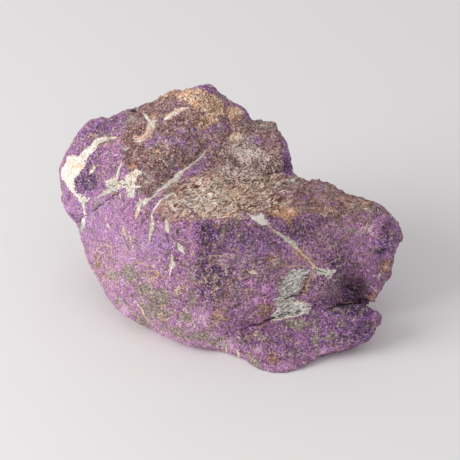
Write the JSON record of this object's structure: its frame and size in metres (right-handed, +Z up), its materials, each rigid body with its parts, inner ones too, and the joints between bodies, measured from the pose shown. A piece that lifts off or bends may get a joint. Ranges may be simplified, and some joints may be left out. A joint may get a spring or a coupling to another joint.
{
  "type": "purpurite specimen",
  "caption": "Rough hand specimen of violet purpurite rock with a raised back, a bedded shelf, a blunt nose and a foot slab, resting on a flat break.",
  "frame": {"origin": "on the surface that the stone rests on, under the middle of its bounding box", "axes": "+X along the stone's length, from the left lobe to the nose; -Y is the side it is shown from; +Z up"},
  "size_m": [0.0864, 0.059, 0.0567],
  "materials": {
    "purpurite_rock": "matte"
  },
  "bodies": {
    "root": {"purpurite": "purpurite_rock"}
  },
  "joints": []
}
